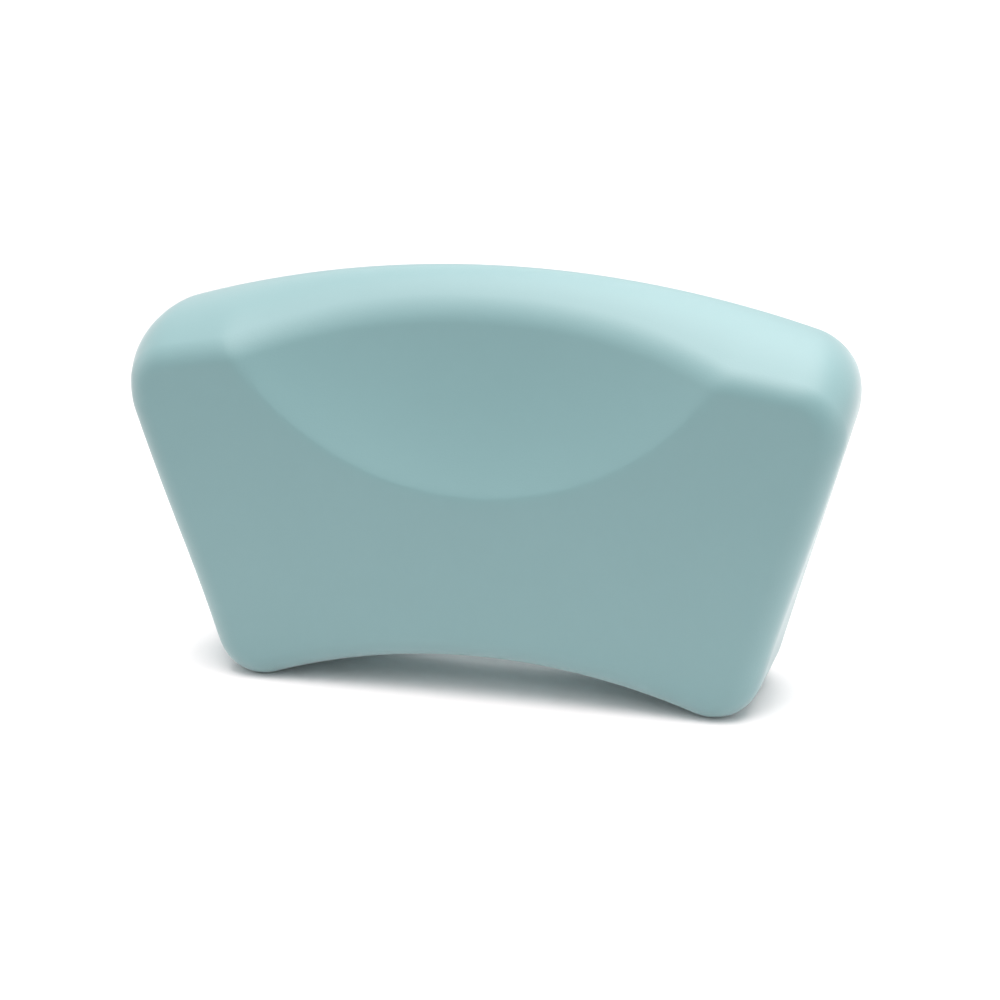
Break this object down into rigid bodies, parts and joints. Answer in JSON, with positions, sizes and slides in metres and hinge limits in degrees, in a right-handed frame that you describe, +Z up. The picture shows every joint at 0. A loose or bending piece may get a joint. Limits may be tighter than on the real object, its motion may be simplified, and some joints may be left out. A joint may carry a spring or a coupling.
{
  "type": "bath pillow",
  "caption": "Fan-shaped moulded foam bath pillow with a dished neck rest, arched feet and suction cups that slide in keyhole plates on its back.",
  "frame": {"origin": "on the floor under the middle of the pillow and its suction cups", "axes": "+X to the pillow's right as seen from the front, +Y out of the back towards the wall that the cups hold, +Z up; the neck rest faces -Y"},
  "size_m": [0.3268, 0.077, 0.1831],
  "materials": {
    "skin": "matte moulded polyurethane skin, light grey-teal",
    "foam": "open-cell polyurethane foam, cream",
    "board": "matte polypropylene board, dark grey",
    "plate": "brushed stainless steel",
    "socket": "matte moulded plastic, dark grey",
    "cup": "smooth translucent soft PVC",
    "screw": "bright stainless steel"
  },
  "bodies": {
    "pillow": {"skin_shell": "skin", "back_skin": "skin", "foam_core": "foam", "stiffener_board": "board", "upper_left_keyhole_plate": "plate", "upper_left_socket": "socket", "upper_left_inner_screw": "screw", "upper_left_outer_screw": "screw", "upper_right_keyhole_plate": "plate", "upper_right_socket": "socket", "upper_right_inner_screw": "screw", "upper_right_outer_screw": "screw", "lower_left_keyhole_plate": "plate", "lower_left_socket": "socket", "lower_left_inner_screw": "screw", "lower_left_outer_screw": "screw", "lower_right_keyhole_plate": "plate", "lower_right_socket": "socket", "lower_right_inner_screw": "screw", "lower_right_outer_screw": "screw"},
    "upper_left_cup": {"upper_left_suction_cup": "cup"},
    "upper_right_cup": {"upper_right_suction_cup": "cup"},
    "lower_left_cup": {"lower_left_suction_cup": "cup"},
    "lower_right_cup": {"lower_right_suction_cup": "cup"}
  },
  "joints": [
    {"name": "upper_left_cup_slide", "type": "slide", "parent": "pillow", "child": "upper_left_cup", "axis": [0, 0, -1], "range_m": [0, 0.012]},
    {"name": "upper_right_cup_slide", "type": "slide", "parent": "pillow", "child": "upper_right_cup", "axis": [0, 0, -1], "range_m": [0, 0.012]},
    {"name": "lower_left_cup_slide", "type": "slide", "parent": "pillow", "child": "lower_left_cup", "axis": [0, 0, -1], "range_m": [0, 0.012]},
    {"name": "lower_right_cup_slide", "type": "slide", "parent": "pillow", "child": "lower_right_cup", "axis": [0, 0, -1], "range_m": [0, 0.012]}
  ]
}
